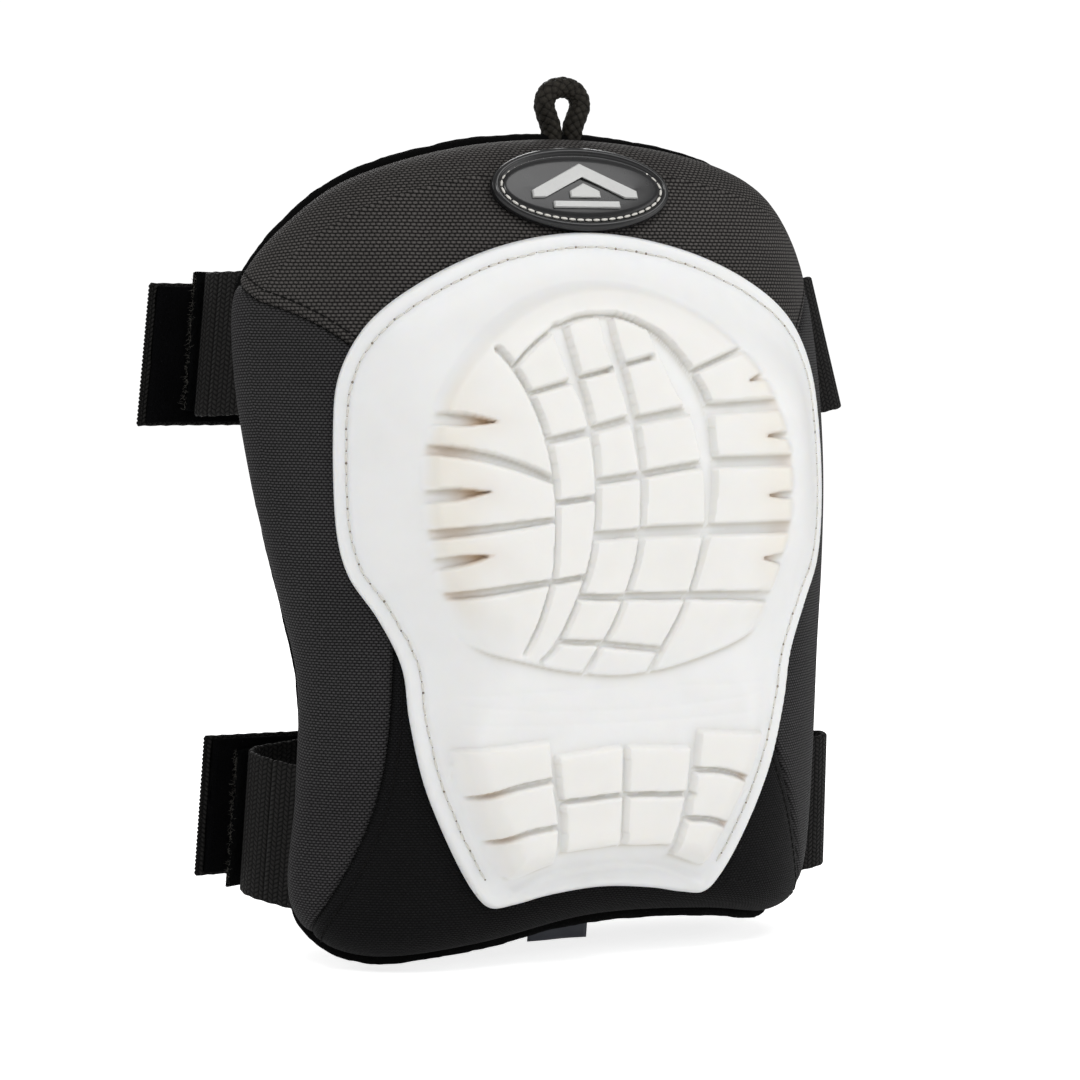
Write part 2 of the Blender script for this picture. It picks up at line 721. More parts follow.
# ---- cap ----------------------------------------------------------------------------------------
FLANGE = 3
DOME_RISE = 9
CHIN_RISE = 5.5
LUG = 3
DOME = np.array([-3, 22])  # middle of the tread
CROWN_FLAT = 14.5
STITCH_IN = 4.8
EDGE = 0.28  # half width of a groove wall
CELL = 0.55  # pitch of the cap's grid
TREAD_REACH = 53  # the dome's tread fades out past this distance from its middle
MOULD_LINES = ((-38.6, 0.0006), (-45.5, -0.0012), (-49.5, -0.0005))  # v and bow of faint lines
RIM_STITCHES = 150

# Curved grooves of the dome: u, v, width.
DOME_LONG = [
    [(-39.5, 58.8, 1.7), (-35, 52.3, 1.6), (-31.4, 45.5, 1.6), (-28.2, 37.3, 1.6),
     (-26.4, 30, 1.5), (-25.2, 21.8, 1.4), (-24.8, 12.7, 1.4), (-25, 3.6, 1.4),
     (-25.7, -4.5, 1.4), (-27.3, -10, 1.3), (-30, -18.2, 1.3), (-33.6, -26.8, 1.2)],
    [(-35.5, 53.6, 1.2), (-31, 58, 1.3), (-24.5, 62.7, 1.4), (-20, 65, 1.6),
     (-13.6, 67.3, 1.7), (-6.4, 68, 1.7), (0, 67.5, 1.7), (5.5, 65.6, 1.7), (11.8, 62.3, 1.7),
     (16.4, 58.2, 1.7), (21, 52.3, 1.7), (25.5, 44.5, 1.8), (26.4, 37, 1.8)],
    [(-20.5, 63.5, 5.2), (-16.8, 50, 3.8), (-14.3, 43, 2.7), (-12.2, 30, 2), (-11.7, 20, 1.6),
     (-12.2, 10, 1.6), (-13.7, 0, 1.6), (-17.3, -10, 1.5), (-21.9, -20, 1.6),
     (-25.9, -27, 1.9), (-28.6, -29.5, 1.6)],
    [(-5.2, 66.5, 4), (-4, 59, 4.2), (-1.4, 50, 3.6), (0.8, 40, 3), (2.4, 30, 2.3),
     (3.2, 20, 1.8), (2.8, 10, 1.6), (1.4, 0, 1.6), (-2, -10, 1.6), (-6.6, -20, 1.5),
     (-10.9, -27, 1.7), (-15, -35, 2.3)],
    [(9.5, 63, 2.4), (14.4, 56, 5.6), (18.6, 49, 7.6), (23, 40, 6.4), (24.9, 30, 5.4),
     (25.5, 20, 3.8), (24.8, 10, 2.6), (22.4, 0, 1.8), (19.2, -10, 1.5), (14.2, -20, 1.5),
     (10.8, -26, 1.6), (6.5, -35, 2)],
    [(-26.5, 22.6, 2.0), (-33.6, 25.5, 2.7), (-42.7, 28.5, 2.9), (-51.8, 30.5, 3),
     (-62, 31.8, 3)],
    [(-26.4, 11.4, 2), (-42.7, 9.5, 2.7), (-62, 7.6, 3.3)],
    [(-27.3, -6.5, 2), (-42.7, -8.6, 2.7), (-60, -10.9, 2)],
    [(18.6, -11.8, 2.8), (39, -12.7, 3.3), (60, -14.7, 3.8)],
]

# Straight cross grooves: u, v, width at the start and at the end.
DOME_CROSS = [
    [(-31.7, 46.3, 1.7), (-19.3, 49.3, 1.7)], [(-26.9, 33.2, 2.4), (-14.7, 35.4, 2.4)],
    [(-24.5, 16.2, 1.8), (-13.2, 17.3, 1.8)], [(-25.5, -6.4, 1.8), (-16.4, -5.3, 1.8)],
    [(-14.6, 50.7, 1.6), (-5.5, 52.6, 1.6)], [(-11.8, 36.4, 2.5), (-1.4, 38.6, 2.5)],
    [(-10.5, 21.8, 2.4), (1.8, 23.2, 2.4)], [(-11.8, 6.5, 3.1), (1.8, 7.1, 3.1)],
    [(-16.4, -11.1, 2.2), (-2.7, -11.6, 2.2)], [(-23.6, -23.8, 1.8), (-10.5, -24.7, 1.8)],
    [(0.5, 54.1, 1.6), (8.6, 55.9, 1.6)], [(3.2, 38.6, 2.9), (18.2, 40.9, 2.9)],
    [(4.5, 23.6, 2.4), (22.7, 25.9, 2.4)], [(3.6, 7.3, 3.6), (23.2, 7.5, 3.6)],
    [(-1.4, -11.4, 2.7), (17.7, -11.8, 2.7)], [(-9.5, -25, 2.2), (10, -27.5, 2.2)],
    [(21.8, 51.8, 1.8), (44.5, 60.2, 1.8)], [(26.4, 41.4, 3.7), (58, 42.9, 3.7)],
    [(28.2, 26.4, 3.5), (60, 26.5, 3.5)], [(25.5, 7.5, 3.8), (60, 7.3, 3.8)],
]

# Notches that run in from the sides of the dome: tip, mouth and width at the mouth.
NOTCHES = [((-41.4, 38.6), (-60, 40.2), 3.8), ((-44.1, 19.6), (-63, 18.2), 3.9),
           ((-43.6, 1.9), (-61, -1.4), 3.6), ((39.5, 48.9), (53, 52.9), 2.5),
           ((43.5, 33.5), (59, 33.6), 2.5), ((43.5, 16.7), (60, 16.5), 2.7),
           ((41.8, -1.5), (60, -2.9), 4)]

# Lower edge of the dome's tread, from left to right.
CREASE = [(-66, -13), (-58, -18.6), (-52, -22.3), (-43, -26.8), (-34, -29.3), (-24.5, -31.8),
          (-16.4, -33.2), (-6.4, -34.4), (0, -34.5), (6.4, -33.9), (12, -33.2), (21, -31),
          (30, -28.2), (39, -24.7), (48, -21.4), (57, -17.7), (66, -12)]

# Tread plates of the chin and the grooves in them.
CHIN_PLATES = [
    [(-52, -56), (-24.4, -53.8), (-23.4, -62), (-22.2, -70), (-20.7, -77), (-20.3, -91.6),
     (-31, -96.6), (-42, -92), (-50, -76)],
    [(-21.6, -58.4), (-1, -56.4), (2, -56.5), (22.4, -57.8), (22, -69), (20, -80),
     (17.8, -87.3), (0, -86.4), (-17.7, -87.5), (-18.2, -77), (-20.4, -67)],
    [(25.7, -53.2), (46.4, -55), (56, -57.4), (50, -78), (42, -92), (30.5, -95.6),
     (19.8, -91), (23.2, -78), (25, -64)],
]
CHIN_GROOVES = [
    [(0.5, -54, 2), (1.2, -71, 2), (1.4, -89, 2)],
    [(-22, -65.1, 1.8), (-34, -67, 1.9), (-47, -70.6, 1.2)],
    [(-19.5, -79.4, 1.7), (-30, -80.7, 1.8), (-41, -84.4, 1.2)],
    [(-21, -72.2, 1.6), (0, -70.9, 1.6)], [(1, -70.9, 1.6), (24, -72.1, 1.6)],
    [(23.5, -64.7, 1.8), (34.5, -65.9, 1.8), (49, -71.6, 1.3)],
    [(21, -79.4, 1.8), (30.9, -80.5, 1.8), (45, -86.4, 1.2)],
]
LIP = [(-30, -101), (-20, -96), (-11, -94.5), (1, -93.8), (12, -95), (21, -97.3), (32, -102)]

# Places where the rubber has yellowed: u, v, reach and strength.
TIPS = [(-43.5, 38.4, 3.6, 0.8), (-46.5, 19.6, 4, 0.75), (-46, 1.8, 4, 0.75),
        (41.5, 49.4, 2.2, 0.4), (45.5, 33.6, 2.4, 0.5), (45.5, 16.7, 2.4, 0.5),
        (43.5, -1.7, 2.6, 0.45), (-54, 30.9, 4, 0.4), (-53, 8.6, 4, 0.35),
        (-52, -9.8, 4, 0.35), (52, 26.4, 3, 0.22), (50, 7.4, 3.5, 0.25), (50, 42.6, 3, 0.2),
        (-41, -68.8, 3, 0.4), (-36, -82.8, 3, 0.4), (42, -68.8, 2.4, 0.4),
        (38, -83.4, 2.4, 0.4)]


def curved(line, steps=8):
    """Points and widths along a groove's curve."""
    line = np.array(line, float)
    fine = line if len(line) == 2 else catmull(line, False, steps)
    return fine[:, :2], fine[:, 2]


def groove_lines():
    lines = [curved(line) for line in DOME_LONG + DOME_CROSS]
    for tip, mouth, width in NOTCHES:
        share = np.linspace(0, 1, 10)
        line = lerp(np.array(tip, float), np.array(mouth, float), share[:, None])
        lines.append((line, width * np.sin(np.pi / 2 * np.minimum(share * 1.7, 1)) ** 1.1))
    return lines


def union(parts):
    """Field that is inside where any part is."""
    value, way = parts[0]
    for other, other_way in parts[1:]:
        better = other > value
        value = np.where(better, other, value)
        way = np.where(better[:, None], other_way, way)
    return value, way


def opposite(part):
    return -part[0], -part[1]


def cap_floor(v, inset):
    """h of the cap's face before the tread, with its rolled rim and stitch channel."""
    dome = smooth((v + 55) / 30)
    rise = lerp(CHIN_RISE, DOME_RISE, dome)
    reach = lerp(12, 26, dome)
    h = FLANGE + rise * smooth((inset - 6) / reach)
    rim = -1.5 * (1 - smooth(inset / 1.3)) + 0.25 * bump_at(inset - 2.2, 1.2)
    channel = -0.4 * bump_at(inset - STITCH_IN, 0.9) * smooth((v + 99) / 5)
    return h + rim + channel


def tread(p, inset):
    """Field of the grooves, positive where the tread is cut away, and the tread's height."""
    near_dome = np.hypot(*(p - DOME).T) < TREAD_REACH + 15
    value = np.full(len(p), 50.0)
    way = np.zeros((len(p), 2))
    height = np.zeros(len(p))

    q = p[near_dome]
    grooves = union([line_field(q, *line) for line in groove_lines()])
    crease = catmull(CREASE, False, 6)
    plate = polygon_field(q, np.vstack([crease, [(90, 40), (70, 110), (-70, 110), (-90, 40)]]))
    cut = union([grooves, opposite(plate)])
    value[near_dome], way[near_dome] = cut
    below = np.minimum(q[:, 1] - DOME[1], 0) * 0.72
    r = np.hypot(q[:, 0] - DOME[0], np.maximum(q[:, 1] - DOME[1], 0) + below)
    step = lerp(0.45, 1, smooth(plate[0] / 14))
    height[near_dome] = LUG * (1 - smooth((r - TREAD_REACH) / 5.5)) * step

    chin = (p[:, 1] < -48) & (p[:, 1] > -100) & (np.abs(p[:, 0]) < 60)
    q = p[chin]
    plates = union([polygon_field(q, corners) for corners in CHIN_PLATES])
    grooves = union([line_field(q, *curved(line)) for line in CHIN_GROOVES])
    value[chin], way[chin] = union([grooves, opposite(plates)])
    height[chin] = LUG * smooth((inset[chin] - 7.5) / 6)
    return value, way, height


def cap():
    """Moulded cap: a flange, a raised dome and chin with their tread, and a rim turned down."""
    p, inset, faces = clipped_grid(CAP_RING, CELL)
    value, way, height = tread(p, inset)
    beside = (np.abs(value) < CELL * 0.62) & (height > 0.05) & (inset > 2)
    target = np.where(value > 0, EDGE, -EDGE)
    p[beside] += way[beside] * np.clip(target - value, -0.3, 0.3)[beside, None]
    moved = np.where(beside, target, value)
    lug = smooth((EDGE - moved) / (2 * EDGE))
    soft = 0.3 * np.exp(np.minimum(moved + EDGE, 0) / 0.5)
    h = cap_floor(p[:, 1], inset) + np.minimum(height, 9) * lug - soft * lug * (height > 0.05)
    lip = line_field(p, catmull(LIP, False, 6), np.zeros(6 * (len(LIP) - 1) + 1))[0]
    h += 0.9 * bump_at(lip, 1.5)
    for v0, bow in MOULD_LINES:
        flow = p[:, 1] - v0 + bow * p[:, 0] ** 2
        h -= 0.12 * bump_at(flow, 0.8) * (np.abs(p[:, 0]) < 50)
    points = place(p[:, 0], p[:, 1], h)
    points[:, 1] = np.maximum(points[:, 1], LINER_FACE - CROWN_FLAT)

    tint = np.zeros(len(p))
    for u, v, reach, strength in TIPS:
        away = np.hypot((p[:, 0] - u) / 1.6, p[:, 1] - v)
        tint = np.maximum(tint, strength * bump_at(away, reach))
    in_groove = smooth((moved + 0.7) / 1.1)
    cream = smooth(height / LUG) * lug
    ends = smooth((np.abs(p[:, 0] + 3) - 38) / 14) * (p[:, 1] > -20)
    wall = np.exp(-np.maximum(moved - EDGE, 0) / 0.8) * smooth(moved / 0.6)
    overhung = 0.14 + 0.56 * np.clip(-way[:, 1], 0, 1)
    marks = {
        "tint": (tint * in_groove + tint * (1 - in_groove) * 0.12) * smooth(height / 1.2),
        "cream": cream * (0.2 + 0.3 * ends),
        "shade": wall * overhung * smooth(height / 1.5),
    }

    loop = rim_loop(faces)
    edge = p[loop]
    rows = [points]
    first = len(points)
    previous = np.array(loop)
    for depth, down in ((0.15, 0.9), (0.7, 0.25), (9, 0.3)):
        q = inward(edge, depth)
        rows.append(place(q[:, 0], q[:, 1], down))
        here = first + np.arange(len(loop))
        faces += np.stack([np.roll(previous, -1), previous, here, np.roll(here, -1)], -1).tolist()
        previous = here
        first += len(loop)
    extra = first - len(points)
    marks = {k: np.concatenate([m, np.zeros(extra)]) for k, m in marks.items()}
    obj = new_mesh("cap_shell", np.vstack(rows), faces, **marks)
    return facing_out(obj, (0, 0.05, 0))


def bead(name, pairs, radius):
    """Short stitches between pairs of points: each is a small tube with thin ends."""
    share = np.linspace(0, 1, 5)
    size = radius * lerp(0.35, 1, np.sin(np.pi * (0.12 + 0.76 * share)))
    return capped_tubes(name, [tube_sections(lerp(a, b, share[:, None]), size, 6,
                                             (0.3, -0.9, 0.2)) for a, b in pairs])


def cap_stitches():
    """Thread round the cap's rim, and the needle hole at each stitch's end."""
    start = share_near(CAP_RING, (40, -102))
    rim = along(CAP_RING, np.linspace(start, 1 - start, RIM_STITCHES))
    outline, _ = inset_of(inward(rim, STITCH_IN), CAP_RING)
    spots = inward(rim, STITCH_IN * STITCH_IN / np.maximum(outline, 3))
    h = FLANGE - 0.27 + 0.25 * bump_at(STITCH_IN - 2.2, 1.2)
    spots = spots + rng.normal(0, 0.12, spots.shape)
    stitches, holes = [], []
    for a, b in zip(spots[:-1], spots[1:]):
        stitches.append((place(*lerp(a, b, 0.1), h), place(*lerp(a, b, 0.86), h)))
        holes.append(lerp(a, b, 0.98))
    thread = bead("cap_thread_stitches", stitches, 0.4)
    paint(thread, WHITE_THREAD)
    discs = []
    for spot in holes:
        size = 0.16 + 0.26 * rng.random() ** 3
        deep, top = place(*spot, h - 0.5), place(*spot, h + 0.12)
        discs.append(tube_sections(np.array([deep, lerp(deep, top, 0.5), top]), size, 7,
                                   (1, 0.1, 0.1)))
    marks = capped_tubes("cap_needle_holes", discs)
    paint(marks, NEEDLE_HOLE)
    return thread, marks


cap_shell = cap()
paint(cap_shell, RUBBER)
cap_thread, cap_holes = cap_stitches()
for piece in (cap_shell, cap_thread, cap_holes):
    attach(piece, "pad")
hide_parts("cap")
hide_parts("cap_thread")

# ---- cover panels -------------------------------------------------------------------------------
ROLL_IN = 16
ROLL_DOWN = 11
UNDER_CAP = 10
PANEL_ROWS = 26
SEAM_STEPS = np.array([0, 0.7, 1.6, 2.8, 4.4, 6.2])  # grid lines beside a seam
STITCH_COLUMN = 4  # and the one that its stitches lie on
QUARTER = np.array([0.14, 0.3, 0.47, 0.64, 0.8, 0.92, 1.0]) * np.pi / 2  # of the rolled edge
SHY = 2  # the rolled cloth ends this far short of the binding's middle
SHOULDER = np.array([125.5, 86])
HEEL = np.array([100, -123])
TEMPLE = np.array([79.5, 62])
WAIST_RIGHT = np.array([60, -54])
WAIST_LEFT = np.array([-70, -6])
LEFT_BOW = (8, 1.35)
MIRROR = np.array([-1, 1])
PRESSURE = 4.0  # of the cloth simulation
PUFF_FRAMES = 20
PUFF_LIMIT = 2.6  # no point of the cloth moves further than this
CLOTH_THICK = 1.1


def seam_line(start, end, bow, skew=1.0):
    """Seam with a sideways swell, the widest at half length or past it where skew is over 1."""
    run = end - start
    aside = np.array([-run[1], run[0]]) / np.linalg.norm(run)
    return lambda t: (start + run * t[..., None]
                      + aside * (bow * np.sin(np.pi * t**skew))[..., None])


def panel(name, cap_from, cap_to, pad_from, pad_to, bows, stitched):
    """Cover panel as a grid. Rows run from under the cap outwards and columns along it."""
    def turn(points, a, b):
        a, b = share_near(points, a), share_near(points, b)
        return a, b + 1 if b < a else b
    cap_a, cap_b = turn(CAP_RING, cap_from, cap_to)
    pad_a, pad_b = turn(PAD_RING, pad_from, pad_to)

    def inner(s):
        return inward(along(CAP_RING, lerp(cap_a, cap_b, s)), UNDER_CAP)

    def outer(s):
        return inward(along(PAD_RING, lerp(pad_a, pad_b, s)), ROLL_IN)

    zero, one = np.array(0.0), np.array(1.0)
    first = seam_line(inner(zero), outer(zero), *bows[0])
    last = seam_line(inner(one), outer(one), *bows[1])
    length = np.linalg.norm(np.diff(outer(np.linspace(0, 1, 60)), axis=0), axis=1).sum()
    edge_steps = SEAM_STEPS / length
    cols = int(length / 2.6)
    s = np.concatenate([edge_steps, np.linspace(8.5 / length, 1 - 8.5 / length, cols),
                        1 - edge_steps[::-1]])
    rows = PANEL_ROWS
    S, T = (a[..., None] for a in np.meshgrid(s, np.linspace(0, 1, rows)))
    sides = lerp(first(T[..., 0]), last(T[..., 0]), S)
    ends = lerp(inner(S[..., 0]), outer(S[..., 0]), T)
    corners = lerp(lerp(inner(zero), inner(one), S), lerp(outer(zero), outer(one), S), T)
    flat = sides + ends - corners
    cap_gap = -inset_of(flat.reshape(-1, 2), CAP_RING)[0].reshape(rows, len(s))

    rim = along(PAD_RING, lerp(pad_a, pad_b, s))
    reach = [*lerp(ROLL_IN, SHY, np.sin(QUARTER)), SHY + 1]
    depth = [0] * rows + [*ROLL_DOWN * (1 - np.cos(QUARTER)), ROLL_DOWN + 2]
    p = np.concatenate([flat, [inward(rim, distance) for distance in reach]])
    h = -np.array(depth)[:, None] * np.ones(len(s))

    from_seam = np.minimum(s, 1 - s) * length
    h = h - 1.9 * np.exp(-from_seam / 1.1)[None, :]
    h[:rows] -= 0.5 * (1 - smooth((cap_gap + 2) / 5))
    held = np.zeros(h.shape, bool)
    held[:rows] = cap_gap < -1.5
    held[:, 0] = held[:, -1] = True
    held[-3:] = True
    if stitched:
        for c in (STITCH_COLUMN, -1 - STITCH_COLUMN):
            held[:, c] = True
            h[:, c] -= 0.35
    points = place(p[..., 0], p[..., 1], h)
    run = np.concatenate([[0], np.cumsum(np.linalg.norm(
        np.diff(points[rows - 1:], axis=0), axis=-1).mean(1))])
    skin = p.copy()
    outwards = rim - MIDDLE
    outwards /= np.linalg.norm(outwards, axis=1, keepdims=True)
    skin[rows:] = flat[-1] + outwards * run[1:, None, None]
    obj = new_mesh(name, points.reshape(-1, 3), grid_faces(len(p), len(s)),
                   skin.reshape(-1, 2))
    facing_out(obj, (0, 0.08, 0))
    return obj, held.reshape(-1), (len(p), len(s))


def inflate(jobs):
    """Blows sheets up between their held points by a cloth simulation, and keeps the result.

    Each job is an object and the mask of its held points.
    """
    rests = []
    for obj, held in jobs:
        group = obj.vertex_groups.new(name="held")
        group.add([int(i) for i in np.nonzero(held)[0]], 1.0, "REPLACE")
        cloth = obj.modifiers.new("puff", "CLOTH")
        s = cloth.settings
        s.quality = 5
        s.mass = 0.15
        s.tension_stiffness = s.compression_stiffness = 12
        s.shear_stiffness = 6
        s.bending_stiffness = 0.6
        s.use_pressure = True
        s.uniform_pressure_force = PRESSURE
        s.vertex_group_mass = "held"
        s.effector_weights.gravity = 0
        cloth.point_cache.frame_start = 1
        cloth.point_cache.frame_end = PUFF_FRAMES
        rests.append(np.array([v.co for v in obj.data.vertices]))
    for number in range(1, PUFF_FRAMES + 1):
        scene.frame_set(number)
    graph = bpy.context.evaluated_depsgraph_get()
    results = [np.array([v.co for v in obj.evaluated_get(graph).data.vertices])
               for obj, _ in jobs]
    limit = PUFF_LIMIT * MM
    for (obj, _), rest, result in zip(jobs, rests, results):
        move = result - rest
        size = np.linalg.norm(move, axis=1, keepdims=True)
        move *= limit * np.tanh(size / limit) / np.maximum(size, 1e-12)
        obj.modifiers.clear()
        obj.vertex_groups.clear()
        obj.data.vertices.foreach_set("co", (rest + move).astype(np.float32).ravel())
        obj.data.update()
    scene.frame_set(1)


def finish_cloth(obj):
    """Smooths a sheet and gives it its thickness, inwards."""
    sub = obj.modifiers.new("smooth", "SUBSURF")
    sub.levels = sub.render_levels = 1
    solid = obj.modifiers.new("thick", "SOLIDIFY")
    solid.thickness = CLOTH_THICK * MM
    solid.offset = -1
    graph = bpy.context.evaluated_depsgraph_get()
    mesh = bpy.data.meshes.new_from_object(obj.evaluated_get(graph))
    obj.modifiers.clear()
    obj.data = mesh


# Where each panel starts and ends under the cap and at the pad's edge, the swell of its two seams
# and whether stitches show along them.
PANELS = {
    "top_panel": (TEMPLE, TEMPLE * MIRROR, SHOULDER, SHOULDER * MIRROR,
                  ((3,), (-3,)), True),
    "right_side_panel": (WAIST_RIGHT, TEMPLE, HEEL, SHOULDER, ((0,), (3,)), False),
    "left_side_panel": (TEMPLE * MIRROR, WAIST_LEFT, SHOULDER * MIRROR, HEEL * MIRROR,
                        ((-3,), LEFT_BOW), False),
    "lower_panel": (WAIST_LEFT, WAIST_RIGHT, HEEL * MIRROR, HEEL,
                    (LEFT_BOW, (0,)), True),
}
CLOTHS = {"top_panel": (TOP_CLOTH, "top_cloth"), "right_side_panel": (SIDE_CLOTH, "side_cloth"),
          "left_side_panel": (SIDE_CLOTH, "side_cloth"),
          "lower_panel": (LOWER_CLOTH, "lower_cloth")}
made = {name: panel(name + "_cloth", *spec) for name, spec in PANELS.items()}
inflate([(obj, held) for obj, held, _ in made.values()])


def top_stitches(name, obj, shape):
    """Dark stitches along the two seams of a panel, on columns of its grid."""
    co = np.array([v.co for v in obj.data.vertices]).reshape(*shape, 3) / MM
    normals = np.array([v.normal for v in obj.data.vertices]).reshape(*shape, 3)
    pairs = []
    for c in (STITCH_COLUMN, -1 - STITCH_COLUMN):
        line = np.hstack([co[4:, c], normals[4:, c]])
        length = np.linalg.norm(np.diff(line[:, :3], axis=0), axis=1).sum()
        spots = respaced(line, int(length / 2.9))
        lifted = spots[:, :3] + 0.12 * spots[:, 3:]
        pairs += [(lerp(a, b, 0.08), lerp(a, b, 0.86)) for a, b in zip(lifted[:-1], lifted[1:])]
    piece = bead(name, pairs, 0.3)
    paint(piece, DARK_THREAD)
    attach(piece, "pad")


for name, (obj, held, shape) in made.items():
    if PANELS[name][-1]:
        top_stitches(name + "_stitches", obj, shape)
    finish_cloth(obj)
    paint(obj, CLOTHS[name][0])
    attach(obj, "pad")
    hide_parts(name)

# ---- binding and liner --------------------------------------------------------------------------
BINDING_R = 2.4
BINDING_H = -ROLL_DOWN - 2
CUP_SIZE = (52, 46)  # half width and half height of the knee cup's sewn channel
CROSS_CHANNELS = (72, 97, -48, -72, -96)  # sewn channels across the liner
SIDE_CHANNEL = 78  # and one up each side


def binding():
    """Soft roll round the pad's edge, a little uneven."""
    steps, sides = 520, 10
    share = np.arange(steps) / steps
    rim = along(PAD_RING, share)
    wave = sum(a * np.sin(2 * np.pi * (k * share + f))
               for a, k, f in ((0.1, 23, 0.1), (0.08, 41, 0.4), (0.06, 77, 0.8)))
    rows = []
    for j in range(sides):
        angle = 2 * np.pi * j / sides
        size = BINDING_R + wave + 0.05 * rng.normal(size=steps)
        q = inward(rim, 0.5 + size * math.cos(angle))
        rows.append(place(q[:, 0], q[:, 1], size * math.sin(angle) + BINDING_H))
    sections = np.stack(rows, 1)
    obj = capped_tubes("edge_roll", [sections], closed=True)
    paint(obj, BINDING)
    return facing_out(obj, (0, 0.03, 0))


def liner():
    """Padded back: a knit face with sewn channels round the knee cup and across the pad."""
    p, inset, faces = clipped_grid(inward(PAD_RING, 0.6), 1.9)
    cup = np.hypot(p[:, 0] / CUP_SIZE[0], (p[:, 1] - KNEE_V) / CUP_SIZE[1])
    lines = [(cup - 1) * 48]
    outside = smooth((cup - 1) / 0.05)
    for v0 in CROSS_CHANNELS:
        lines.append(np.where(outside > 0.5, p[:, 1] - v0 + 0.0012 * p[:, 0] ** 2, 30))
    lines.append(np.where(np.abs(p[:, 1] - 12) < 62, np.abs(p[:, 0]) - SIDE_CHANNEL, 30))
    gap = np.min(np.abs(lines), 0)
    puff = 1.6 * smooth(gap / 11) * smooth(inset / 10) - 1.5 * bump_at(gap, 1.5)
    edge = 3.4 * (1 - smooth(inset / 6.5))
    h = LINER_FACE + 0.9 + edge - puff
    points = place(p[:, 0], p[:, 1], h)
    obj = new_mesh("liner_face", points, faces, p)
    solid = obj.modifiers.new("thick", "SOLIDIFY")
    solid.thickness = 1.2 * MM
    solid.offset = 0
    facing_out(obj, (0, -0.3, 0))
    paint(obj, LINER)
    return obj


edge_roll = binding()
liner_face = liner()
for piece, node, name in ((edge_roll, "edge_binding", "binding"),
                          (liner_face, "back_liner", "liner")):
    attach(piece, "pad")
    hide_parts(node)

# ---- straps -------------------------------------------------------------------------------------
STRAP_H = -16.4
STRAP_GAP = 0.35
TAPE_TAIL = 13
ROOT_IN = 8
PEEL_X = -12
SIDE_WORDS = {-1: "left", 1: "right"}
TURN_REACH = 4.5  # the webbing bends over this much on either side of its hinge line
SPLICE_X = 34  # where the right webbing is butt-joined to its end
WEB_SIZE = (45, 1.6)
LOOP_SIZE = (44, 1.4)
HOOK_SIZE = (43, 1.2)
LOOP_LIFT = (WEB_SIZE[1] + LOOP_SIZE[1]) / 2 + STRAP_GAP
HOOK_LIFT = LOOP_LIFT + (LOOP_SIZE[1] + HOOK_SIZE[1]) / 2 + STRAP_GAP
RIGHT_LIFT = HOOK_LIFT + (HOOK_SIZE[1] + WEB_SIZE[1]) / 2 + STRAP_GAP
BACK_STEP = 2  # between stations behind the leg
ROOT_STATIONS = 16
TURN_STATIONS = 34
FRAYED_LOOPS = 260

LEVELS = {
    "upper": {
        "half": 100, "backY": 95, "sag": 15,
        -1: dict(edgeU=130, rootV=65.2, foldV=62.8, endV=58, splay=0, pivot=7,
                 lean=(0.15, 0.14), straight=3, bulge=(12, 10), joinX=86, endX=25),
        1: dict(edgeU=133, rootV=59.5, foldV=57, endV=59.3, splay=45, pivot=12,
                lean=(0.2, 0.14), straight=12, bulge=(22, 16), joinX=86, endX=-114),
    },
    "lower": {
        "half": 92, "backY": 82, "sag": 15,
        -1: dict(edgeU=108, rootV=-89.5, foldV=-84.5, endV=-79, splay=0, pivot=7,
                 lean=(0.03, -0.14), straight=3, bulge=(14, 12), joinX=78, endX=25),
        1: dict(edgeU=111, rootV=-92, foldV=-89, endV=-80.5, splay=45, pivot=12,
                lean=(0.05, -0.14), straight=9, bulge=(24, 14), joinX=78, endX=-101),
    },
}


def unit(a):
    a = np.asarray(a, float)
    return a / np.linalg.norm(a, axis=-1, keepdims=True)


def back_run(level, x):
    """y of the strap's course behind the leg: a sagging arc with straight ends."""
    inside = np.clip(x, -level["half"], level["half"])
    slope = -2 * level["sag"] * inside / level["half"] ** 2
    arc = level["sag"] * (1 - (inside / level["half"]) ** 2)
    return LINER_FACE + level["backY"] + arc + slope * (x - inside)


def back_lean(level, x):
    share = float(np.clip(x / level["half"], -1, 1))
    lean = level[-1 if share < 0 else 1]["lean"]
    return unit([-share * lean[0], lean[1] * abs(share), 1])


def hinge_of(level, side):
    """The level's values for a side, the way out and the axis there, the edge and the hinge."""
    spec = level[side]
    edge = place(side * spec["edgeU"], spec["rootV"], STRAP_H)
    heading = float(tilt(spec["edgeU"])) - math.radians(spec["splay"])
    out = np.array([side * math.cos(heading), math.sin(heading), 0])
    axis = unit([-side * spec["lean"][0], spec["lean"][1], 1])
    out = unit(out - axis * (out @ axis))
    return spec, out, axis, edge, edge + out * spec["pivot"]


def back_stations(level, side, from_x, to_x, lift):
    """Stations of webbing or tape behind the leg: places and the way across the strip there."""
    spec = level[side]
    count = max(int(abs(to_x - from_x) / BACK_STEP), 1)
    stations = []
    for x in np.linspace(from_x, to_x, count + 1):
        share = (x - side * spec["joinX"]) / (spec["endX"] - side * spec["joinX"])
        z = lerp(spec["foldV"], spec["endV"], share) - KNEE_V
        stations.append((np.array([x, back_run(level, x) + lift, z]), back_lean(level, x)))
    return stations


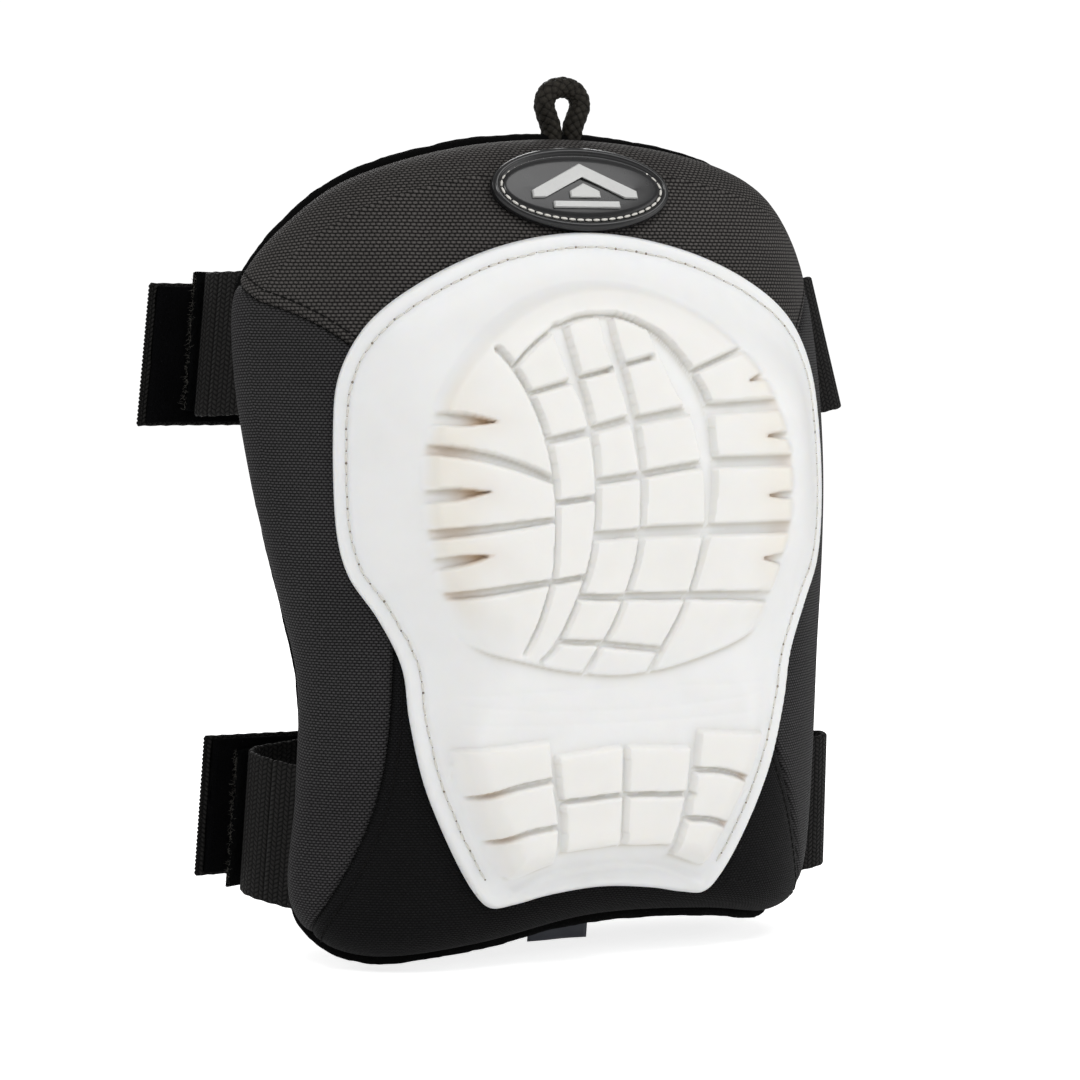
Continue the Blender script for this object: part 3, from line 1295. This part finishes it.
def strap_stations(level, side, stop_x):
    """Stations of webbing from inside the pad's edge, round the fold and on behind the leg."""
    spec, out, axis, edge, at = hinge_of(level, side)
    lift = 0 if side < 0 else RIGHT_LIFT
    turned = float(tilt(spec["edgeU"]))
    inwards = np.array([-side * math.cos(turned), -math.sin(turned), 0])
    inwards = unit(inwards - axis * (inwards @ axis))
    x = side * spec["joinX"]
    join = np.array([x, back_run(level, x) + lift, spec["foldV"] - KNEE_V])
    outwards = unit([side, back_run(level, x + side) - back_run(level, x), 0])
    start = at + out * spec["straight"]
    corners = [start, start + spec["bulge"][0] * out, join + spec["bulge"][1] * outwards, join]
    root = np.array([edge + inwards * ROOT_IN, edge, start])
    for _ in range(3):  # rounds the corner at the pad's edge
        a, b = root[:-1], root[1:]
        root = np.vstack([root[:1], np.stack([lerp(a, b, 0.25), lerp(a, b, 0.75)],
                                             1).reshape(-1, 3), root[-1:]])
    stations = [(p, axis) for p in respaced(root, ROOT_STATIONS)[:-1]]
    for t in np.linspace(0, 1, TURN_STATIONS + 1):
        weights = ((1 - t) ** 3, 3 * t * (1 - t) ** 2, 3 * t * t * (1 - t), t**3)
        p = sum(w * c for w, c in zip(weights, corners))
        stations.append((p, unit(lerp(axis, back_lean(level, x), t))))
    return stations + back_stations(level, side, x, stop_x, lift)[1:]


def ribbon(name, stations, size, part=slice(None), offset=0.0, ripple=0.0, ragged=(0, 0)):
    """Woven strip through part of the stations, with rounded selvedges and ragged ends.

    Its pattern runs on the length along it and the place across it.
    """
    width, thick = size
    at = np.array([s[0] for s in stations])
    across = unit([s[1] for s in stations])
    run = unit(np.gradient(at, axis=0))
    normal = unit(np.cross(run, across))
    length = np.concatenate([[0], np.cumsum(np.linalg.norm(np.diff(at, axis=0), axis=1))])
    at, across, run, normal, length = (a[part] for a in (at, across, run, normal, length))
    half = np.linspace(-1, 1, 13)
    w = half * (width / 2 - thick / 2)
    rounds = thick / 2 * np.array([0.5, 0.87, 1.0])
    up = thick / 2 * np.array([0.87, 0.5, 0.0])
    side_w = np.concatenate([w, w[-1] + rounds, (w[-1] + rounds[:2])[::-1],
                             w[::-1], w[0] - rounds, (w[0] - rounds[:2])[::-1]])
    flat = np.full(len(w), thick / 2)
    side_n = np.concatenate([flat, up, -up[:2][::-1], -flat, -up, up[:2][::-1]])
    rows = len(at)
    waves = ripple * np.sin((length[:, None] + offset) / 0.9)
    spread = side_w + np.sign(side_w) * waves * (np.abs(side_w) > w[-1])
    points = (at[:, None] + across[:, None] * spread[..., None]
              + normal[:, None] * side_n[None, :, None])
    jitter = rng.normal(size=(2, len(side_w)))
    points[0] -= run[0] * (ragged[0] * jitter[0])[:, None]
    points[-1] += run[-1] * (ragged[1] * jitter[1])[:, None]
    cols = len(side_w)
    faces = grid_faces(rows, cols, True)
    faces += lids(0, (rows - 1) * cols, cols)
    skin = np.stack(np.broadcast_arrays(length[:, None] + offset, side_w[None, :]), -1)
    obj = new_mesh(name, points.reshape(-1, 3), faces, skin.reshape(-1, 2))
    bpy.context.view_layer.update()
    mesh = obj.data
    front = sum(p.normal.dot(Vector(normal[rows // 2])) for p in mesh.polygons
                if p.index % cols == 6 and p.index // cols == rows // 2)
    if front < 0:
        mesh.flip_normals()
    return obj


def fuzz(name, spots, ways, length, thick, spread):
    """Loose fibres that stand on spots, each a thin bent prism."""
    sections = []
    for spot, way in zip(spots, ways):
        lean = unit(way + spread * rng.normal(size=3))
        curl = 0.5 * rng.normal(size=3)
        size = length * (0.5 + rng.random())
        share = np.linspace(0, 1, 4)[:, None]
        line = spot + lean * share * size + curl * share**2 * size * 0.5
        radius = thick * (1 - 0.6 * share[:, 0])
        sections.append(tube_sections(line, radius, 3, unit([0.31, 0.42, 0.85])))
    return capped_tubes(name, sections)


def end_spots(stations, size, count, face):
    """Places on the cut first end of a strip, and the way outwards there."""
    (at, across), (after, _) = stations[:2]
    run = unit(at - after)
    normal = unit(np.cross(run, across))
    w = (rng.random(count) - 0.5) * size[0]
    n = (rng.random(count) - 0.5) * size[1]
    spots = at + w[:, None] * unit(across) + n[:, None] * normal
    return spots, np.tile(run + face * normal, (count, 1))


def sewn_strap(name, level, side, stations, ragged):
    """Webbing of one side: a piece that turns at the hinge line and one that lies beyond it."""
    _, out, _, _, hinge = hinge_of(level, side)
    cut = next(i for i, (at, _) in enumerate(stations) if (at - hinge) @ out > TURN_REACH + 0.5)
    word = f"{name}_{SIDE_WORDS[side]}"
    root = ribbon(f"{word}_root_webbing", stations, WEB_SIZE, slice(0, cut + 1), ripple=0.12)
    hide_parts(f"{word}_root")
    (hinge - TURN_REACH * out) * MM
    (hinge + TURN_REACH * out) * MM
    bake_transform(root)
    rest = ribbon(f"{word}_webbing", stations, WEB_SIZE, slice(cut, None), ripple=0.12,
                  ragged=ragged)
    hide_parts(f"{word}_strap")
    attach(rest, word)
    for piece in (root, rest):
        paint(piece, WEBBING)


def end_ribs(name, lane):
    """Cut ends of the webbing's ribs: a row of lumps across its end."""
    at, across = lane[-1][0], unit(lane[-1][1])
    spots = np.arange(-21.5, 21.6, 1.3)[:, None]
    piece = bead(name, zip(at + (spots - 0.6) * across, at + (spots + 0.6) * across), 0.85)
    paint(piece, DARK_THREAD)
    return piece


def straps(name, level):
    """Left and right webbing of one level, with the loop tape and the hook end."""
    left = strap_stations(level, -1, level[-1]["endX"])
    sewn_strap(name, level, -1, left, (0, 0.15))

    start = -level[-1]["joinX"] - TAPE_TAIL
    lane = back_stations(level, -1, start, level[-1]["endX"] - 1, LOOP_LIFT)
    tape = ribbon(f"{name}_loop_pile", lane, LOOP_SIZE, ragged=(0.3, 0.3))
    paint(tape, LOOP)
    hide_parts(f"{name}_loop_tape")
    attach(tape, f"{name}_left")
    spots, ways = end_spots(lane, LOOP_SIZE, FRAYED_LOOPS, -0.6)
    hair = fuzz(f"{name}_loop_frayed", spots, ways, length=1.1, thick=0.06, spread=0.6)
    paint(hair, PALE_FIBRE)
    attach(hair, f"{name}_left")

    right = strap_stations(level, 1, SPLICE_X)
    sewn_strap(name, level, 1, right, (0, 0))

    spots = np.array([s[0] for s in right])
    length = np.linalg.norm(np.diff(spots, axis=0), axis=1).sum()
    lane = back_stations(level, 1, SPLICE_X, level[1]["endX"], RIGHT_LIFT)
    web = ribbon(f"{name}_end_webbing", lane, WEB_SIZE, offset=length, ripple=0.12)
    paint(web, WEBBING)
    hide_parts(f"{name}_right_end")
    y = back_run(level, PEEL_X) + RIGHT_LIFT
    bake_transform(web)
    ribs = end_ribs(f"{name}_end_ribs", lane)
    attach(ribs, f"{name}_end")

    lane = back_stations(level, 1, PEEL_X - 1, level[1]["endX"] + 2, HOOK_LIFT)
    hook = ribbon(f"{name}_hook_pile", lane, HOOK_SIZE, ragged=(0.2, 0.2))
    paint(hook, HOOK)
    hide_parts(f"{name}_hook_tape")
    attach(hook, f"{name}_end")


for name, level in LEVELS.items():
    straps(name, level)

# ---- badge --------------------------------------------------------------------------------------
BADGE_V = 108.5
BADGE_A = 29.5
BADGE_B = 12.5
BADGE_PROFILE = [(0.3, 0.5), (0, 1.2), (0, 2.6), (0.3, 3.2), (0.9, 3.7), (1.6, 3.75), (2.1, 3.4),
                 (2.45, 2.95), (3.1, 2.95), (3.4, 3.3), (3.8, 3.55), (5, 3.65), (7, 3.75),
                 (9, 3.85), (11, 3.95), (12.2, 4)]


def badge_spot(inset, t, h):
    """Places on an ellipse at share t of its turn, inside the badge's outline by inset."""
    a = np.maximum(BADGE_A - inset, 0) * np.cos(2 * np.pi * t)
    b = np.maximum(BADGE_B - inset, 0) * np.sin(2 * np.pi * t)
    return place(a, BADGE_V + b, h)


def badge():
    sides = 96
    t = np.arange(sides) / sides
    rows = np.array([badge_spot(inset, t, h) for inset, h in BADGE_PROFILE])
    faces = grid_faces(len(rows), sides, True) + lids(0, (len(rows) - 1) * sides, sides)
    obj = new_mesh("badge_body", rows.reshape(-1, 3), faces)
    paint(obj, BADGE)
    return facing_out(obj, (0, 0.05, 0.098))


def badge_stitches():
    t = np.linspace(0, 1, 200, endpoint=False)
    sunk = 0.75 * smooth(np.sin(2 * np.pi * t) + 0.35)
    spots = respaced(badge_spot(2.78, t, 3.3 - sunk), 46, closed=True)
    obj = bead("badge_stitches", [(lerp(a, b, 0.1), lerp(a, b, 0.86))
                                  for a, b in zip(spots, np.roll(spots, -1, 0))], 0.42)
    paint(obj, WHITE_THREAD)
    return obj


def emblem():
    """Generic sign: a roof over a small house and a bar."""
    shapes = [
        [(-17.5, -1.4), (0, 6.8), (17.5, -1.4), (17.5, -3.4), (13.4, -3.4), (0, 3),
         (-13.4, -3.4), (-17.5, -3.4)],
        [(-11, -4.6), (11, -4.6), (11, -6.3), (-11, -6.3)],
        [(-5, -3.4), (5, -3.4), (5, -1.5), (0, 0.9), (-5, -1.5)],
    ]
    points, faces, first = [], [], 0
    for corners in shapes:
        c = np.array(corners)
        if (c[:, 0] * np.roll(c[:, 1], -1) - np.roll(c[:, 0], -1) * c[:, 1]).sum() < 0:
            c = c[::-1]
        middle = c.mean(0)
        inner = c + (middle - c) * 0.35 / np.linalg.norm(middle - c, axis=1, keepdims=True)
        n = len(c)
        for spots, h in ((c, 3.6), (c, 4.45), (inner, 4.75)):
            points.append(place(spots[:, 0], BADGE_V + spots[:, 1], h))
        faces += grid_faces(3, n, True, first) + lids(first, first + 2 * n, n)
        first += 3 * n
    obj = new_mesh("badge_sign", np.vstack(points), faces, flat=True)
    paint(obj, EMBLEM)
    return obj


for piece, node, name in ((badge(), "badge", "badge_rubber"),
                          (badge_stitches(), "badge_thread", "thread"),
                          (emblem(), "badge_emblem", "emblem")):
    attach(piece, "pad")
    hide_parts(node)

# ---- hanging loop -------------------------------------------------------------------------------
CORD_R = 3.3
CORE_FLOOR = -14
CARRIERS = 6  # strands that wind each way
BRAID_LAY = 17.0  # length of one turn of a strand
STRAND_SIZE = (1.3, 0.55)  # half width and half height of a strand


def hanging_loop():
    """Braided cord: strands wind both ways round its middle and pass over and under."""
    foot = place(6, 132, CORE_FLOOR + 0.7)
    lift = 4.9
    spots = [(-3.3, -5.2), (-3.5, -2.8), (-4, 0), (-5.2, 3.2), (-6, 6.6), (-4.4, 10.2),
             (0.2, 11.8), (4.6, 10.2), (6.2, 6.6), (5.2, 3.2), (3.9, 0), (3.4, -2.8),
             (3.2, -5.2)]
    spine = catmull([(foot[0] + x, foot[1], foot[2] + lift + z) for x, z in spots], False, 20)
    spine = respaced(spine, 150)
    run = unit(np.gradient(spine, axis=0))
    aside = np.tile([0.0, 1, 0], (len(spine), 1))
    up = unit(np.cross(run, aside))
    length = np.linalg.norm(np.diff(spine, axis=0), axis=1).sum()
    s = np.linspace(0, length, len(spine))
    strands, twist = [], 2 * np.pi / BRAID_LAY
    turn = (2 * np.pi * np.arange(8) / 8)[:, None]
    for way in (1, -1):
        for i in range(CARRIERS):
            angle = way * twist * s + 2 * np.pi * i / CARRIERS
            weave = way * np.cos(CARRIERS * twist * s)
            radius = CORD_R - 0.72 + 0.26 * weave
            outward = np.cos(angle)[:, None] * aside + np.sin(angle)[:, None] * up
            line = spine + outward * radius[:, None]
            ahead = unit(np.gradient(line, axis=0))
            flat = unit(np.cross(ahead, outward))
            section = (flat[:, None] * (STRAND_SIZE[0] * np.cos(turn))
                       + outward[:, None] * (STRAND_SIZE[1] * np.sin(turn)))
            strands.append(line[:, None] + section)
    core = tube_sections(spine, CORD_R - 1.05, 10, (0, 1, 0))
    obj = capped_tubes("hang_loop_cord", [*strands, core])
    co = np.array([v.co for v in obj.data.vertices]) / MM
    reach = np.array([np.linalg.norm(spine - p, axis=1).min() for p in co])
    rise = np.clip((reach - CORD_R + 0.75) / 0.85, 0, 1)
    layer = obj.data.attributes.new("rise", "FLOAT", "POINT")
    layer.data.foreach_set("value", rise.astype(np.float32))
    paint(obj, CORD)
    return obj


loop_cord = hanging_loop()
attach(loop_cord, "cord_loop")
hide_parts("hang_loop")

# ---- care label ---------------------------------------------------------------------------------
LABEL_X = -4.6
LABEL_WIDTH = 20
LABEL_TOP = -101
LABEL_LOW = -124.5


def label():
    rows, cols = 24, 16
    v = np.linspace(LABEL_TOP, LABEL_LOW, rows)[:, None]
    x = np.linspace(-1, 1, cols)[None, :] * LABEL_WIDTH / 2
    share = (LABEL_TOP - v) / (LABEL_TOP - LABEL_LOW)
    wave = 0.35 * np.sin(x / 4.2 + 1.1) * share**2 + 0.25 * np.sin(x / 2.3) * share**3
    points = place(0 * x, v, LINER_FACE - 0.6 + 0 * x)
    points[..., 0] = LABEL_X + x
    points[..., 1] += wave
    obj = new_mesh("care_label_satin", points.reshape(-1, 3), grid_faces(rows, cols),
                   np.stack(np.broadcast_arrays(x, v), -1).reshape(-1, 2))
    solid = obj.modifiers.new("thick", "SOLIDIFY")
    solid.thickness = 0.3 * MM
    solid.offset = 0
    paint(obj, LABEL)
    return obj


care_label = label()
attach(care_label, "label")
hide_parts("care_label")

# ---- inner layers -------------------------------------------------------------------------------
for node, stuff in (("foam_core", FOAM), ("dome_insert", FOAM), ("gel_pad", GEL)):
    paint(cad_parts[node], stuff)
